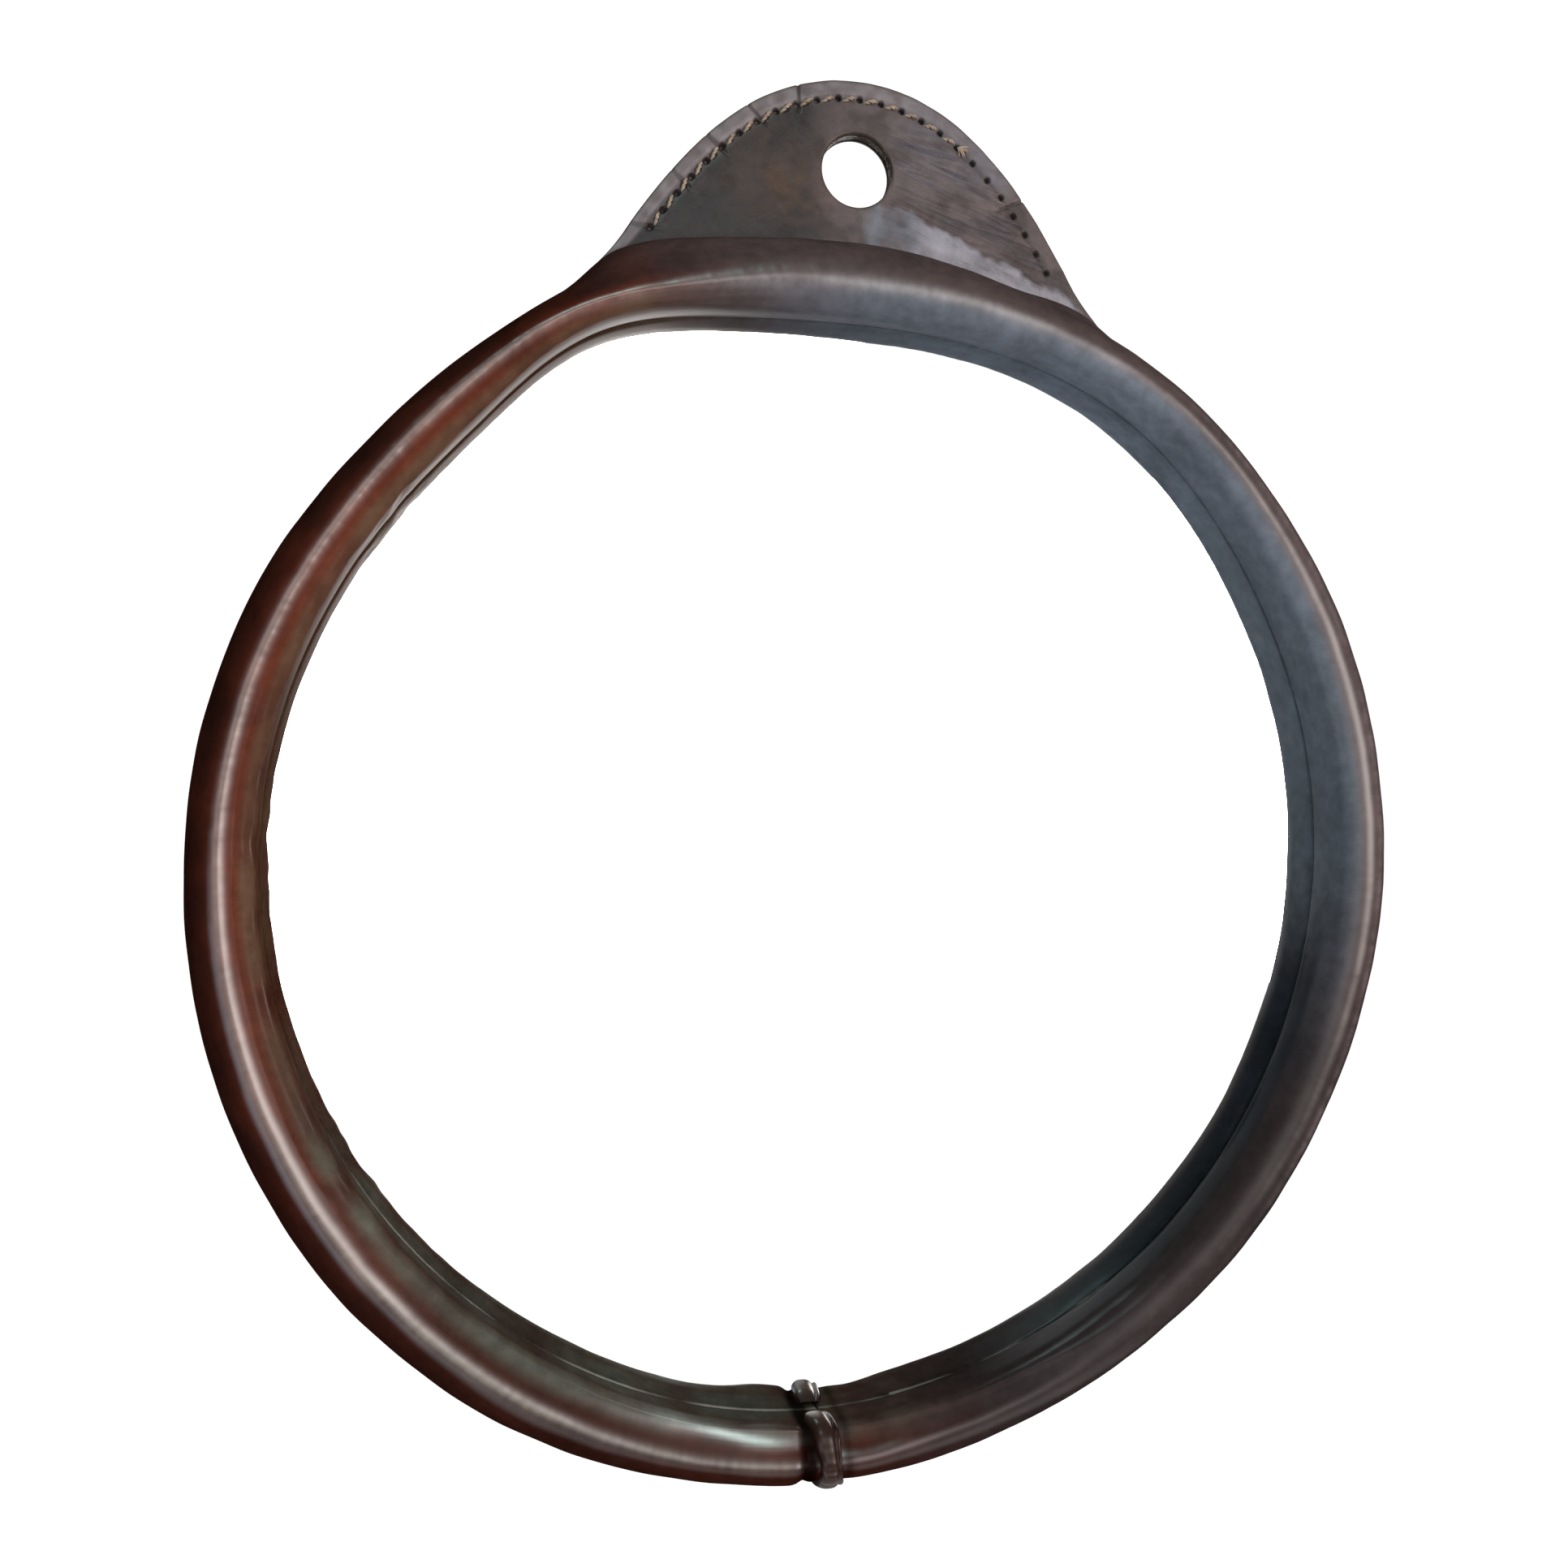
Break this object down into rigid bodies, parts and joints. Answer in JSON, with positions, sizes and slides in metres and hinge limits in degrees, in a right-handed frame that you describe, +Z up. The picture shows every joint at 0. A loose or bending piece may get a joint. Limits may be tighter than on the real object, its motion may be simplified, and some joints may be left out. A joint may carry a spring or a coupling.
{
  "type": "wall mirror",
  "caption": "Round wall mirror in a padded leather roll made like a horse collar, with a stitched hanging tab and a leather band over the joint.",
  "frame": {"origin": "centre of the hanging hole, on the plane of the wall that the mirror hangs against", "axes": "+Z up the wall, +Y into the wall, so the glass faces -Y; +X is the viewer's right"},
  "size_m": [0.472, 0.0398, 0.5467],
  "materials": {
    "mirror": "polished silvered glass",
    "roll_leather": "dark waxed, glossy",
    "band_leather": "dark waxed, glossy",
    "tab_leather": "worn satin",
    "back_leather": "dull, unpolished",
    "thread": "waxed linen thread",
    "wood": "bare",
    "panel_board": "bare plywood",
    "card": "plain",
    "rope": "hemp",
    "wadding": "cotton wadding",
    "felt": "wool felt",
    "tack_steel": "blued, dull",
    "screw_steel": "plain"
  },
  "bodies": {
    "root": {"mirror_glass": "mirror", "glass_card": "card", "wooden_hoop": "wood", "roll_rope": "rope", "roll_wadding": "wadding", "lip_felt": "felt", "edge_felt": "felt", "roll_cover": "roll_leather", "joint_band": "band_leather", "back_panel": "panel_board", "back_cover": "back_leather", "tab_front": "tab_leather", "tab_back": "back_leather", "tab_thread": "thread", "hem_tack_01": "tack_steel", "hem_tack_02": "tack_steel", "hem_tack_03": "tack_steel", "hem_tack_04": "tack_steel", "hem_tack_05": "tack_steel", "hem_tack_06": "tack_steel", "hem_tack_07": "tack_steel", "hem_tack_08": "tack_steel", "hem_tack_09": "tack_steel", "hem_tack_10": "tack_steel", "hem_tack_11": "tack_steel", "hem_tack_12": "tack_steel", "hem_tack_13": "tack_steel", "hem_tack_14": "tack_steel", "band_tack_01": "tack_steel", "band_tack_02": "tack_steel", "panel_screw_01": "screw_steel", "panel_screw_02": "screw_steel", "panel_screw_03": "screw_steel", "panel_screw_04": "screw_steel", "panel_screw_05": "screw_steel", "panel_screw_06": "screw_steel"}
  },
  "joints": []
}
